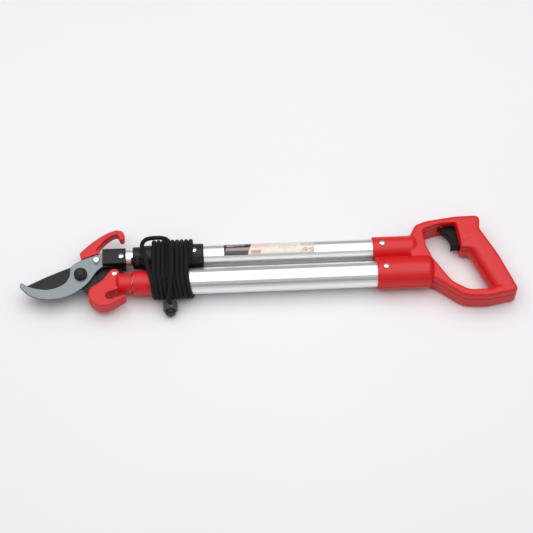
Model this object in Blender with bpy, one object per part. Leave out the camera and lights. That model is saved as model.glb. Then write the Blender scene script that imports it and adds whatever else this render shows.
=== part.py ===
"""Telescoping twin-pole lopper: D-handle, two telescoping poles, cord-pulled bypass head.

All sizes below are in millimetres and become metres when an object is made.  X runs along
the poles towards the handle, Y away from the front pole, Z up; the tool lies on Z = 0.
"""
import math

import bmesh
import bpy
from mathutils import Matrix, Vector

MM = 0.001

# ---- clearances and general finish ------------------------------------------------------
GAP = 0.3                 # between pieces that touch, and round every shank in its hole
ROUND = 32                # sides of a full circle on tubes and sockets
ROUND_SMALL = 16          # sides of a full circle on screws and rivets
ARC_STEP = math.radians(18)
WELD = 0.000004           # metres; closes the hairline edges a Boolean can leave

# ---- poles ------------------------------------------------------------------------------
POLE_Z = 21.0             # height of both pole axes
REAR_Y = 18.0
FRONT_Y = -17.0
REAR_OUTER_OD = 25.0
REAR_OUTER_WALL = 0.9
FRONT_OUTER_OD = 32.0
FRONT_OUTER_WALL = 1.2
INNER_OD = 22.0           # both inner tubes are the same stock
INNER_WALL = 1.2
TRAVEL = 215.0            # how far the head slides out
TAIL_FLANGE = 5.0         # length of the flange on each tail bush
TAIL_SPIGOT = 12.0
TAIL_FIT = 0.4            # radial clearance of a tail flange in its outer tube

# ---- collars ----------------------------------------------------------------------------
REAR_COLLAR_START = -162.0
REAR_COLLAR_END = -76.0
REAR_COLLAR_OD = 30.0
REAR_NOSE_OD = 27.4
REAR_NOSE_LENGTH = 9.0
REAR_TUBE_SEAT = 28.0     # how much of the rear outer tube the collar covers
FRONT_COLLAR_START = -163.0
FRONT_TUBE_START = -94.0
FRONT_COLLAR_OD = 30.4
FRONT_PLUG = 24.0         # how far the collar plugs into the front outer tube
EYE_X = -156.6            # cord eye on the rear collar
EYE_LEAN = math.radians(40)        # round the collar, from the top towards the front pole
EYE_WIDTH = 5.6
EYE_HEIGHT = 7.5

# ---- D-handle ---------------------------------------------------------------------------
HANDLE_HEIGHT = 32.0
HANDLE_EDGE = 4.0
SHELL_WALL = 2.8
REAR_SOCKET_START = 130.0
REAR_SOCKET_END = 185.0
REAR_SOCKET_OD = 30.0
FRONT_SOCKET_START = 133.0
FRONT_SOCKET_END = 202.0
FRONT_SOCKET_OD = 39.0
SOCKET_BOTTOM = 12.5      # solid length behind each tube end
GRIP_TOP = (252.1, 36.0)
GRIP_BOTTOM = (288.3, -49.4)
GRIP_WIDTH = 28.0
HOUSING_HEIGHT = 30.0

# Handle outline and hand opening as corners (x, y, corner radius).
HANDLE_CORNERS = [
    (168, 27, 0), (176, 28, 7), (185, 45.5, 10), (199, 50.8, 18), (236, 56, 60), (267, 56.5, 6),
    (264.5, 38, 9), (283.5, 0, 90), (303, -51.5, 5.5), (264, -59, 30), (236, -57, 24),
    (204, -32, 16), (190, -26, 0), (177.5, -8, 0), (174.5, 7, 0), (168, 8, 0)]
OPENING_CORNERS = [
    (193.5, 38, 6), (215, 45.2, 30), (236, 45.8, 1.5), (239.5, 12, 3.6), (252, 10, 3.6),
    (273, -47.5, 5), (243, -48.3, 16), (223, -36, 26), (197.5, 6, 40)]
HOUSING_CORNERS = [(234, 50, 0), (238.8, 11.5, 0), (255.5, 9.5, 0), (266, 12, 0), (250, 50, 0)]
HOUSING_EDGE = 4.5
POSTS = [(198.5, 45.2), (257.5, 50), (186.5, 6.5), (289, -50.5)]
POST_OD = 7.0
SCREW_OD = 3.0
SCREW_HEAD_OD = 5.8
SCREW_HEAD = 2.2
SCREW_TOP = 27.0

# ---- trigger and release ----------------------------------------------------------------
TRIGGER_PIVOT = (230.0, 49.4)
TRIGGER_HUB_OD = 6.4
TRIGGER_PIN_OD = 2.6
TRIGGER_WIDTH = 12.0
TRIGGER_Z = HANDLE_HEIGHT / 2
TRIGGER_TAIL = 20.0       # lever arm that pulls the release cable
TAIL_DROP = 1.5           # how far below the pivot it lies, so that it has room to rise
TAIL_DEPTH = 3.5
SPRING_Y = 24.0
SPRING_OD = 6.0
SPRING_WIRE = 0.8
SPRING_TURNS = 5
SPRING_START = 243.3
SPRING_END = 257.5
RELEASE_ANGLE = math.radians(50)   # round the front pole, from straight down
RELEASE_ROD_OD = 2.2
RELEASE_TRAVEL = 4.0
WEDGE_LENGTH = 12.0
CABLE_OD = 3.0
# Route of the release cable: down the grip, along the front arm, to the end of the rod.
CABLE_ROUTE = [(250.6, 42.4, 16), (256, 34, 16), (266, 16, 16), (272, 0, 16), (279, -20, 16), (282, -36, 16),
               (277, -49, 16), (262, -54, 16), (244, -52, 16), (229, -46, 15.5), (215, -36, 14.5),
               (207, -30.2, 13.4), (203.2, -28, 12.8)]

# ---- head -------------------------------------------------------------------------------
PLATE = 3.2               # hook plate, blade and brace are the same thickness
PLATE_Z = POLE_Z + 0.8
PIVOT = (-225.6, -4.5)
BOLT_OD = 8.0
BOLT_CAP_OD = 16.0
BOLT_CAP = 5.6
BLOCK_START = -199.0
BLOCK_END = -170.8
BLOCK_Y = 17.0
BLOCK_WIDTH = 22.0
BLOCK_BOTTOM = 9.5
BLOCK_TOP = 31.5
BLOCK_SPIGOT = 16.0
HEAD_TOP = 28.0
HEAD_BOTTOM = 9.5
HEAD_EDGE = 1.4
NECK_OD = 25.4
NECK_SEAT = 10.5          # how far the front inner tube goes into the neck
BRANCH_SCREW = (-206.7, 14.2)
EAR = (-185.0, -5.6)

# ---- cord -------------------------------------------------------------------------------
CORD_OD = 5.3
WINDING_START = -153.2
WINDING_END = -95.0
TOGGLE_X = -118.5
TOGGLE_OD = 17.5
TOGGLE_BODY = 12.5
TOGGLE_BUTTON_OD = 12.0
TOGGLE_BUTTON = 5.5
TOGGLE_STROKE = 2.5
TOGGLE_FRONT = -38.2

# ---- sizes worked out from those above --------------------------------------------------
REAR_OUTER_ID = REAR_OUTER_OD - 2 * REAR_OUTER_WALL
FRONT_OUTER_ID = FRONT_OUTER_OD - 2 * FRONT_OUTER_WALL
INNER_ID = INNER_OD - 2 * INNER_WALL
REAR_TUBE_START = REAR_COLLAR_END - REAR_TUBE_SEAT
REAR_TUBE_END = REAR_SOCKET_END - SOCKET_BOTTOM
FRONT_TUBE_END = FRONT_SOCKET_END - SOCKET_BOTTOM
FRONT_PLUG_END = FRONT_TUBE_START + FRONT_PLUG
REAR_TAIL = REAR_TUBE_START + TRAVEL + 2 * GAP
FRONT_TAIL = FRONT_PLUG_END + TRAVEL + 2 * GAP
BLADE_Z = PLATE_Z - GAP - PLATE
BRACE_Z = BLADE_Z - GAP - PLATE
RELEASE_RADIUS = (INNER_OD + FRONT_OUTER_ID) / 4
BOLT_HOLE = BOLT_OD + 2 * GAP

# ---- colours: base colour, metallic, roughness ------------------------------------------
RED_PLASTIC = ((0.72, 0.03, 0.025, 1), 0.0, 0.42)
BLACK_PLASTIC = ((0.02, 0.02, 0.022, 1), 0.0, 0.5)
ALUMINIUM = ((0.80, 0.81, 0.83, 1), 1.0, 0.3)
SATIN_STEEL = ((0.55, 0.58, 0.60, 1), 1.0, 0.4)
DARK_STEEL = ((0.03, 0.03, 0.035, 1), 0.6, 0.5)
BRIGHT_STEEL = ((0.85, 0.85, 0.86, 1), 1.0, 0.2)
GREY_PLASTIC = ((0.20, 0.20, 0.21, 1), 0.0, 0.6)
CORD_FABRIC = ((0.015, 0.015, 0.015, 1), 0.0, 0.9)


# ---- outlines ---------------------------------------------------------------------------
def rounded(corners):
    """Closed outline through (x, y, radius) corners, each radius an arc."""
    outline = []
    for index, (x, y, radius) in enumerate(corners):
        here = Vector((x, y))
        before = Vector(corners[index - 1][:2]) - here
        after = Vector(corners[(index + 1) % len(corners)][:2]) - here
        if radius == 0:
            outline.append(here)
            continue
        half = before.angle(after) / 2
        reach = min(radius / math.tan(half), 0.48 * before.length, 0.48 * after.length)
        radius = reach * math.tan(half)
        middle = here + (before.normalized() + after.normalized()).normalized() * radius / math.sin(half)
        first = here + before.normalized() * reach - middle
        turn = math.pi - 2 * half
        side = -1 if before.cross(after) > 0 else 1
        steps = max(1, round(turn / ARC_STEP))
        for step in range(steps + 1):
            angle = side * turn * step / steps
            outline.append(middle + Matrix.Rotation(angle, 2) @ first)
    return outline


def smooth(points, per_span=4):
    """Open curve through the points (Catmull-Rom)."""
    nodes = [Vector(point) for point in points]
    ends = [2 * nodes[0] - nodes[1]] + nodes + [2 * nodes[-1] - nodes[-2]]
    curve = []
    for a, b, c, d in zip(ends, ends[1:], ends[2:], ends[3:]):
        for step in range(per_span):
            t = step / per_span
            curve.append(0.5 * (2 * b + (c - a) * t + (2 * a - 5 * b + 4 * c - d) * t * t
                                + (3 * b - a - 3 * c + d) * t ** 3))
    return curve + [nodes[-1]]


def grown(outline, distance):
    """The outline moved outwards by distance, or inwards when it is negative."""
    count = len(outline)
    area = sum(outline[i - 1].cross(outline[i]) for i in range(count))
    side = 1 if area > 0 else -1
    moved = []
    for index, here in enumerate(outline):
        before = (here - outline[index - 1]).normalized()
        after = (outline[(index + 1) % count] - here).normalized()
        along = (before + after).normalized()
        normal = Vector((along.y, -along.x)) * side
        moved.append(here + normal * distance / max(0.5, along.dot(after)))
    return moved


def circle(centre, diameter, sides=ROUND_SMALL):
    """Outline of a round hole, boss or pin."""
    return [Vector(centre) + Vector((math.cos(a), math.sin(a))) * diameter / 2
            for a in (2 * math.pi * i / sides for i in range(sides))]


# ---- solids -----------------------------------------------------------------------------
def loft(levels):
    """Closed solid through (height, outline) levels that have equally many points."""
    solid = bmesh.new()
    rings = [[solid.verts.new((p.x, p.y, z)) for p in outline] for z, outline in levels]
    for low, high in zip(rings, rings[1:]):
        for i in range(len(low)):
            solid.faces.new((low[i - 1], low[i], high[i], high[i - 1]))
    solid.faces.new(rings[0])
    solid.faces.new(rings[-1])
    bmesh.ops.recalc_face_normals(solid, faces=solid.faces)
    return solid


def slab(outline, bottom, top, edge=0.0, steps=3):
    """Flat solid between two heights; edge rounds its rims, and a negative edge flares them."""
    if edge == 0:
        return loft([(bottom, outline), (top, outline)])
    size = abs(edge)
    rim = []
    for step in range(steps + 1):
        angle = math.pi / 2 * step / steps
        rim.append((size * (1 - math.cos(angle)), grown(outline, -edge * (1 - math.sin(angle)))))
    levels = [(bottom + rise, ring) for rise, ring in rim]
    levels += [(top - rise, ring) for rise, ring in reversed(rim)]
    if edge < 0:
        levels = [(bottom - 1, rim[0][1])] + levels + [(top + 1, rim[0][1])]
    return loft(levels)


def turned(profile, origin, direction=(1, 0, 0), sides=ROUND, ring=False):
    """Solid of revolution; profile is (distance along, radius), a ring has a bore."""
    solid = bmesh.new()
    frame = Vector((0, 0, 1)).rotation_difference(Vector(direction)).to_matrix()
    rows = []
    for along, radius in profile:
        count = sides if radius else 1
        angles = [2 * math.pi * i / sides for i in range(count)]
        rows.append([solid.verts.new(Vector(origin) + frame @ Vector(
            (radius * math.cos(a), radius * math.sin(a), along))) for a in angles])
    pairs = list(zip(rows, rows[1:])) + ([(rows[-1], rows[0])] if ring else [])
    for low, high in pairs:
        for i in range(sides):
            j = (i + 1) % sides
            if len(low) == 1:
                solid.faces.new((low[0], high[i], high[j]))
            elif len(high) == 1:
                solid.faces.new((low[j], low[i], high[0]))
            else:
                solid.faces.new((low[i], low[j], high[j], high[i]))
    bmesh.ops.recalc_face_normals(solid, faces=solid.faces)
    return solid


def rod(start, end, diameter, sides=ROUND_SMALL):
    """Plain round bar between two points."""
    along = Vector(end) - Vector(start)
    radius = diameter / 2
    profile = [(0, 0), (0, radius), (along.length, radius), (along.length, 0)]
    return turned(profile, start, along.normalized(), sides)


def pole_rod(start, end, diameter, y, sides=ROUND):
    """Round bar on one of the pole axes."""
    return rod((start, y, POLE_Z), (end, y, POLE_Z), diameter, sides)


def pipe(start, end, outer, inner, y):
    """Plain tube on one of the pole axes."""
    profile = [(0, inner / 2), (0, outer / 2), (end - start, outer / 2), (end - start, inner / 2)]
    return turned(profile, (start, y, POLE_Z), ring=True)


def swept(line, diameter, across=(0, 0, 1), sides=10):
    """Round wire or cable along a line of points; across is never along the line."""
    solid = bmesh.new()
    rings = []
    for index, here in enumerate(line):
        along = (line[min(index + 1, len(line) - 1)] - line[max(index - 1, 0)]).normalized()
        side = along.cross(Vector(across)).normalized()
        up = side.cross(along)
        rings.append([solid.verts.new(here + (side * math.cos(a) + up * math.sin(a)) * diameter / 2)
                      for a in (2 * math.pi * i / sides for i in range(sides))])
    for low, high in zip(rings, rings[1:]):
        for i in range(sides):
            solid.faces.new((low[i - 1], low[i], high[i], high[i - 1]))
    solid.faces.new(rings[0])
    solid.faces.new(rings[-1])
    bmesh.ops.recalc_face_normals(solid, faces=solid.faces)
    return solid


def box(low, high):
    """Box between two corners."""
    outline = [Vector(p) for p in ((low[0], low[1]), (high[0], low[1]), (high[0], high[1]),
                                   (low[0], high[1]))]
    return loft([(low[2], outline), (high[2], outline)])


def about_pole(solid, y, angle):
    """Turns a solid round a pole axis."""
    bmesh.ops.rotate(solid, cent=Vector((0, y, POLE_Z)), matrix=Matrix.Rotation(angle, 3, 'X'),
                     verts=solid.verts)
    return solid


def about_front_pole(solid):
    """Turns a solid made straight below the front pole to where the release rod runs."""
    return about_pole(solid, FRONT_Y, -RELEASE_ANGLE)


# ---- objects ----------------------------------------------------------------------------
def material(name, finish):
    """Principled material of one node."""
    colour, metallic, roughness = finish
    made = bpy.data.materials.new(name)
    made.use_nodes = True
    shader = made.node_tree.nodes["Principled BSDF"]
    shader.inputs["Base Color"].default_value = colour
    shader.inputs["Metallic"].default_value = metallic
    shader.inputs["Roughness"].default_value = roughness
    return made


def place(name, solid, origin):
    """Object whose origin is at a point given in millimetres; its mesh is in metres."""
    bmesh.ops.translate(solid, vec=-Vector(origin), verts=solid.verts)
    bmesh.ops.scale(solid, vec=(MM, MM, MM), verts=solid.verts)
    mesh = bpy.data.meshes.new(name)
    solid.to_mesh(mesh)
    solid.free()
    thing = bpy.data.objects.new(name, mesh)
    bpy.context.scene.collection.objects.link(thing)
    thing.location = Vector(origin) * MM
    return thing


def piece(name, solid, finish, body, origin=(0, 0, 0)):
    """One sub-part: a named object with its own material, parented to its body's empty."""
    thing = place(name, solid, origin)
    thing.data.materials.append(material(name, finish))
    thing.data.shade_smooth()
    thing.data.set_sharp_from_angle(angle=math.radians(35))
    thing.parent = body
    thing.matrix_parent_inverse = body.matrix_basis.inverted()
    return thing


def combine(target, solid, operation):
    """Boolean of the target with a solid, which is kept as a hidden wire cutter."""
    tool = place(f"tool_{target.name}_{len(target.modifiers)}", solid, (0, 0, 0))
    tool.hide_render = True
    tool.display_type = 'WIRE'
    tool.parent = lopper
    change = target.modifiers.new(operation.lower(), 'BOOLEAN')
    change.operation = operation
    change.solver = 'EXACT'
    change.object = tool
    weld = target.modifiers.new("weld", 'WELD')
    weld.merge_threshold = WELD
    return tool


def cut(target, *solids):
    """Takes each solid out of the target."""
    for solid in solids:
        combine(target, solid, 'DIFFERENCE')


def add(target, *solids):
    """Joins each solid to the target."""
    for solid in solids:
        combine(target, solid, 'UNION')


def body_empty(name, origin=(0, 0, 0), parent=None):
    """Empty that carries the pieces of one moving body, on its joint's axis."""
    empty = bpy.data.objects.new(name, None)
    bpy.context.scene.collection.objects.link(empty)
    empty.location = Vector(origin) * MM
    empty.parent = parent
    return empty


for thing in list(bpy.data.objects):
    bpy.data.objects.remove(thing, do_unlink=True)

lopper = body_empty("lopper")     # carries everything, and is centred at the end
handle_frame = body_empty("body_handle_frame", (0, 0, 0), lopper)
head_carriage = body_empty("body_head_carriage", (0, 0, POLE_Z), lopper)
blade_body = body_empty("body_blade", (*PIVOT, BLADE_Z), lopper)
trigger_body = body_empty("body_trigger", (*TRIGGER_PIVOT, TRIGGER_Z), lopper)
release_body = body_empty("body_release", (0, FRONT_Y, POLE_Z), lopper)
button_body = body_empty("body_toggle_button", (TOGGLE_X, TOGGLE_FRONT, TOGGLE_OD / 2), lopper)


# ---- rivets and screws ------------------------------------------------------------------
RIVET_HEAD_OD = 6.6
RIVET_HEAD = 1.7
RIVET_SHANK_OD = 3.6


def rivet(name, x, y, seat, length, body):
    """Domed rivet whose head sits on the height seat and whose shank goes down by length."""
    head, shank = RIVET_HEAD_OD / 2, RIVET_SHANK_OD / 2
    profile = [(-length, 0), (-length, shank), (GAP, shank), (GAP, head), (GAP + 0.5, head),
               (RIVET_HEAD * 0.8, head * 0.62), (GAP + RIVET_HEAD, 0)]
    piece(name, turned(profile, (x, y, seat), (0, 0, 1), ROUND_SMALL), BRIGHT_STEEL, body)


def rivet_hole(x, y, seat, length):
    """Hole for a rivet of the same call, open at the seat."""
    return rod((x, y, seat - length - GAP), (x, y, seat + 10), RIVET_SHANK_OD + 2 * GAP)


def tube_rivet(name, x, y, surface_od, tube_id, body):
    """Rivet from the top of a sleeve into the wall of the tube inside it, flush within."""
    seat = POLE_Z + surface_od / 2
    rivet(name, x, y, seat, surface_od / 2 - tube_id / 2 - 0.25, body)


def tube_rivet_hole(x, y, surface_od, tube_id):
    """Hole through the sleeve and the tube wall for a tube_rivet."""
    seat = POLE_Z + surface_od / 2
    return rod((x, y, POLE_Z + tube_id / 2 - 1.5), (x, y, seat + 10), RIVET_SHANK_OD + 2 * GAP)


REAR_COLLAR_RIVET_X = -88.0
REAR_SOCKET_RIVET_X = 142.0
FRONT_SOCKET_RIVET_X = 144.0

# ---- outer tubes ------------------------------------------------------------------------
rear_tube = piece("rear_outer_tube", pipe(REAR_TUBE_START, REAR_TUBE_END, REAR_OUTER_OD,
                                          REAR_OUTER_ID, REAR_Y), ALUMINIUM, handle_frame)
cut(rear_tube,
    tube_rivet_hole(REAR_COLLAR_RIVET_X, REAR_Y, REAR_COLLAR_OD, REAR_OUTER_ID),
    tube_rivet_hole(REAR_SOCKET_RIVET_X, REAR_Y, REAR_SOCKET_OD, REAR_OUTER_ID))
front_tube = piece("front_outer_tube", pipe(FRONT_TUBE_START, FRONT_TUBE_END, FRONT_OUTER_OD,
                                            FRONT_OUTER_ID, FRONT_Y), ALUMINIUM, handle_frame)
cut(front_tube, tube_rivet_hole(FRONT_SOCKET_RIVET_X, FRONT_Y, FRONT_SOCKET_OD, FRONT_OUTER_ID))

# ---- rear collar: guide bore, seat for the outer tube, and the eye the cord is tied to ---
nose, barrel = REAR_NOSE_OD / 2, REAR_COLLAR_OD / 2
bore, seat = INNER_OD / 2 + GAP, REAR_OUTER_OD / 2 + GAP
rear_length = REAR_COLLAR_END - REAR_COLLAR_START
rear_shoulder = REAR_TUBE_START - GAP - REAR_COLLAR_START
rear_collar = piece("rear_collar", turned(
    [(0, bore), (0, nose - 1), (1, nose), (REAR_NOSE_LENGTH, nose), (REAR_NOSE_LENGTH + 1, barrel),
     (rear_length - 0.8, barrel), (rear_length, barrel - 0.8), (rear_length, seat),
     (rear_shoulder, seat), (rear_shoulder, bore)],
    (REAR_COLLAR_START, REAR_Y, POLE_Z), ring=True), BLACK_PLASTIC, handle_frame)
eye_top = POLE_Z + nose + EYE_HEIGHT
add(rear_collar, about_pole(slab(rounded([
    (EYE_X - EYE_WIDTH / 2, REAR_Y - 5.5, 2), (EYE_X + EYE_WIDTH / 2, REAR_Y - 5.5, 2),
    (EYE_X + EYE_WIDTH / 2, REAR_Y + 5.5, 2), (EYE_X - EYE_WIDTH / 2, REAR_Y + 5.5, 2)]),
    POLE_Z + nose - 1.6, eye_top, 0.8, 2), REAR_Y, EYE_LEAN))
cut(rear_collar,
    about_pole(rod((EYE_X - 9, REAR_Y, eye_top - 4), (EYE_X + 9, REAR_Y, eye_top - 4), CORD_OD + 2 * GAP),
               REAR_Y, EYE_LEAN),
    tube_rivet_hole(REAR_COLLAR_RIVET_X, REAR_Y, REAR_COLLAR_OD, REAR_OUTER_ID))
tube_rivet("rear_collar_rivet", REAR_COLLAR_RIVET_X, REAR_Y, REAR_COLLAR_OD, REAR_OUTER_ID,
           handle_frame)

# ---- front collar: plugs into the outer tube and holds the lock wedge -------------------
sleeve, plug = FRONT_COLLAR_OD / 2, FRONT_OUTER_ID / 2 - GAP
front_step = FRONT_TUBE_START - GAP - FRONT_COLLAR_START
front_length = FRONT_PLUG_END - FRONT_COLLAR_START
front_collar = piece("front_collar", turned(
    [(0, bore), (0, sleeve - 0.8), (0.8, sleeve), (front_step, sleeve), (front_step, plug),
     (front_length, plug), (front_length, bore)],
    (FRONT_COLLAR_START, FRONT_Y, POLE_Z), ring=True), RED_PLASTIC, handle_frame)
wedge_low = POLE_Z - plug
wedge_high = POLE_Z - INNER_OD / 2 - GAP
wedge_start = FRONT_PLUG_END - WEDGE_LENGTH - 3 * GAP - RELEASE_TRAVEL
cut(front_collar, about_front_pole(box((wedge_start - GAP, FRONT_Y - 3.4, wedge_low - 1),
                                       (FRONT_PLUG_END + 5, FRONT_Y + 3.4, POLE_Z - bore + 2))))

# ---- release rod and its lock wedge, which slide together in the front pole -------------
rod_z = POLE_Z - RELEASE_RADIUS
RELEASE_ROD_END = FRONT_TUBE_END + 7.0
wedge = piece("lock_wedge", about_front_pole(box(
    (wedge_start, FRONT_Y - 3, wedge_low + GAP), (wedge_start + WEDGE_LENGTH, FRONT_Y + 3, wedge_high - 0.6))),
    BRIGHT_STEEL, release_body)
release_rod = piece("release_rod", about_front_pole(rod(
    (wedge_start + WEDGE_LENGTH + GAP, FRONT_Y, rod_z), (RELEASE_ROD_END, FRONT_Y, rod_z),
    RELEASE_ROD_OD)), BRIGHT_STEEL, release_body)

# ---- handle shells ----------------------------------------------------------------------
handle_outline = rounded(HANDLE_CORNERS)
opening_outline = rounded(OPENING_CORNERS)
grip_line = Vector(GRIP_BOTTOM) - Vector(GRIP_TOP)
grip_side = Vector((-grip_line.y, grip_line.x)).normalized()
grip_middle = HANDLE_HEIGHT / 2
GRIP_TRIM = 15.0          # length at each end of the grip where the frame keeps its flat top
GRIP_FLARE = 8.0


def grip_bar(wall=0.0):
    """Rounded bar of the grip, or its hollow when a wall is given."""
    inset = grip_line.normalized() * 2 * wall
    top, bottom = Vector(GRIP_TOP) + inset, Vector(GRIP_BOTTOM) - inset
    bar = rod((*top, 0), (*bottom, 0), GRIP_WIDTH - 2 * wall, ROUND)
    height = (HANDLE_HEIGHT - 0.4 - 2 * wall) / (GRIP_WIDTH - 2 * wall)
    bmesh.ops.scale(bar, vec=(1, 1, height), verts=bar.verts)
    bmesh.ops.translate(bar, vec=(0, 0, grip_middle), verts=bar.verts)
    return bar


def grip_trim(wall=0.0):
    """Takes the flat frame away on the finger side of the grip, where the rounded bar replaces it.
    Its edges flare out towards both faces, so that the frame rounds off into the bar."""
    along = grip_line.normalized() * (GRIP_TRIM - wall)
    finger_side, crown_side = grip_side * (GRIP_WIDTH / 2 + 3 + wall), grip_side * (GRIP_FLARE - wall)
    top, bottom = Vector(GRIP_TOP) + along, Vector(GRIP_BOTTOM) - along * 0.8
    return slab([top - crown_side, top - finger_side, bottom - finger_side, bottom - crown_side],
                wall, HANDLE_HEIGHT - wall, -GRIP_FLARE, 4)


def socket(start, end, diameter, y):
    """Round-ended socket for an outer tube."""
    radius, length = diameter / 2, end - start
    return turned([(0, 0), (0, radius - 0.6), (0.6, radius), (length - 6, radius),
                   (length - 2, radius * 0.86), (length, radius * 0.6), (length, 0)],
                  (start, y, POLE_Z))


def handle_cavity():
    """Hollow between the outer wall and the wall of the opening."""
    return slab(grown(handle_outline, -SHELL_WALL), SHELL_WALL, HANDLE_HEIGHT - SHELL_WALL)


def handle_shell(name, low, high):
    """One half of the handle, parted on the plane of the pole axes."""
    shell = piece(name, slab(handle_outline, 0, HANDLE_HEIGHT, HANDLE_EDGE, 2), RED_PLASTIC, handle_frame)
    cut(shell, grip_trim(), slab(opening_outline, 0, HANDLE_HEIGHT, -2.0, 2))
    add(shell, grip_bar(),
        slab(rounded(HOUSING_CORNERS), HANDLE_HEIGHT - HOUSING_HEIGHT, HOUSING_HEIGHT,
             HOUSING_EDGE, 3),
        socket(REAR_SOCKET_START, REAR_SOCKET_END, REAR_SOCKET_OD, REAR_Y),
        socket(FRONT_SOCKET_START, FRONT_SOCKET_END, FRONT_SOCKET_OD, FRONT_Y),
        box((FRONT_SOCKET_START + 0.5, FRONT_Y + 11, 5), (182, REAR_Y - 8, 25)))
    hollow = combine(shell, handle_cavity(), 'DIFFERENCE')
    cut(hollow, grip_trim(SHELL_WALL))
    add(hollow, grip_bar(SHELL_WALL))
    cut(hollow, slab(grown(opening_outline, SHELL_WALL), -1, HANDLE_HEIGHT + 1),
        box((150, -60, -1), (FRONT_TUBE_END + 3, 4.5, HANDLE_HEIGHT + 1)),
        box((150, 0, -1), (REAR_SOCKET_END - 6, 60, HANDLE_HEIGHT + 1)))
    add(shell, *[rod((x, y, 1.5), (x, y, HANDLE_HEIGHT - 1.5), POST_OD) for x, y in POSTS])
    cut(shell,
        pole_rod(REAR_SOCKET_START - 5, REAR_TUBE_END + GAP, REAR_OUTER_OD + 2 * GAP, REAR_Y),
        pole_rod(FRONT_SOCKET_START - 5, FRONT_TUBE_END + GAP, FRONT_OUTER_OD + 2 * GAP, FRONT_Y),
        tube_rivet_hole(REAR_SOCKET_RIVET_X, REAR_Y, REAR_SOCKET_OD, REAR_OUTER_ID),
        tube_rivet_hole(FRONT_SOCKET_RIVET_X, FRONT_Y, FRONT_SOCKET_OD, FRONT_OUTER_ID),
        about_front_pole(rod((FRONT_TUBE_END - 5, FRONT_Y, rod_z), (RELEASE_ROD_END + 20, FRONT_Y, rod_z),
                             2 * RELEASE_ROD_OD)),
        trigger_slot(), tail_slot(), trigger_pin_hole(), spring_pocket(),
        swept(smooth(CABLE_ROUTE, 2), CABLE_OD + 3 * GAP, sides=8))
    for x, y in POSTS:
        cut(shell, screw_hole(x, y))
    combine(shell, box((100, -80, low), (330, 80, high)), 'INTERSECT')
    return shell


# ---- trigger ----------------------------------------------------------------------------
pivot_x, pivot_y = TRIGGER_PIVOT
trigger_low = TRIGGER_Z - TRIGGER_WIDTH / 2
trigger_high = TRIGGER_Z + TRIGGER_WIDTH / 2
tail_low, tail_high = TRIGGER_Z - 4, TRIGGER_Z + 4


def trigger_slot():
    """Room for the trigger and its tail as they swing."""
    slot = slab([Vector(p) for p in ((213, 42), (219, 53.6), (241.5, 53.6), (255, 18), (254, 14.6),
                                     (226, 14.6), (221, 30))],
                trigger_low - 0.5, trigger_high + 0.5)
    return slot


def tail_slot():
    """Room for the lever arm that pulls the cable."""
    return box((pivot_x - 1, pivot_y - TAIL_DROP - TAIL_DEPTH - 0.5, tail_low - 0.5),
               (pivot_x + TRIGGER_TAIL + 3.5, pivot_y + 3.9, tail_high + 0.5))


def trigger_pin_hole():
    """Blind hole in both shells for the trigger pin."""
    return rod((pivot_x, pivot_y, 3.5), (pivot_x, pivot_y, HANDLE_HEIGHT - 3.5), TRIGGER_PIN_OD + 2 * GAP)


def spring_pocket():
    """Round pocket in the grip for the trigger's return spring."""
    return rod((SPRING_START - 8, SPRING_Y, TRIGGER_Z), (SPRING_END + GAP, SPRING_Y, TRIGGER_Z),
               SPRING_OD + 2)


def screw_hole(x, y):
    """Countersunk hole from below, blind in the upper shell."""
    shank, head = SCREW_OD / 2 + GAP, SCREW_HEAD_OD / 2 + GAP
    depth = SCREW_HEAD + GAP
    return turned([(-5, 0), (-5, head), (depth, head), (depth + head - shank, shank),
                   (SCREW_TOP + GAP, shank), (SCREW_TOP + GAP, 0)], (x, y, 0), (0, 0, 1), ROUND_SMALL)


handle_shell("handle_shell_lower", -5, POLE_Z - GAP / 2)
handle_shell("handle_shell_upper", POLE_Z + GAP / 2, 60)

for number, (x, y) in enumerate(POSTS, 1):
    shank, head = SCREW_OD / 2, SCREW_HEAD_OD / 2
    screw = piece(f"shell_screw_{number}", turned(
        [(GAP, 0), (GAP, head), (SCREW_HEAD, head), (SCREW_HEAD + head - shank, shank),
         (SCREW_TOP, shank), (SCREW_TOP, 0)], (x, y, 0), (0, 0, 1), ROUND_SMALL),
        BRIGHT_STEEL, handle_frame)
    cut(screw, box((x - 2.2, y - 0.4, -1), (x + 2.2, y + 0.4, 1.3)),
        box((x - 0.4, y - 2.2, -1), (x + 0.4, y + 2.2, 1.3)))

for name, x, y, sleeve_od, tube_id in (
        ("rear_socket_rivet", REAR_SOCKET_RIVET_X, REAR_Y, REAR_SOCKET_OD, REAR_OUTER_ID),
        ("front_socket_rivet", FRONT_SOCKET_RIVET_X, FRONT_Y, FRONT_SOCKET_OD, FRONT_OUTER_ID)):
    tube_rivet(name, x, y, sleeve_od, tube_id, handle_frame)

# Finger side of the trigger, from its nose at the top to its square lower end, and the back.
finger_side = smooth([(216.5, 41.2), (223.2, 36), (227, 29.5), (228.4, 22.5), (227.4, 16.2)], 3)
back_side = smooth([(242, 18.2), (241.6, 24), (238.8, 34), (235, 43)], 3)
trigger = piece("trigger", slab(finger_side + back_side + rounded([(220, 44, 0)]), trigger_low,
                                trigger_high, 1.6, 3), BLACK_PLASTIC, trigger_body,
                (*TRIGGER_PIVOT, TRIGGER_Z))
add(trigger, slab([Vector(p) for p in ((221.5, 42), (228, pivot_y + 2), (232, pivot_y + 2), (236, 41))],
                  trigger_low + 0.8, trigger_high - 0.8),
    rod((*TRIGGER_PIVOT, trigger_low + 0.6), (*TRIGGER_PIVOT, trigger_high - 0.6), TRIGGER_HUB_OD),
    box((pivot_x, pivot_y - TAIL_DROP - TAIL_DEPTH, tail_low),
        (pivot_x + TRIGGER_TAIL + 2.5, pivot_y - TAIL_DROP, tail_high)))
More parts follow.
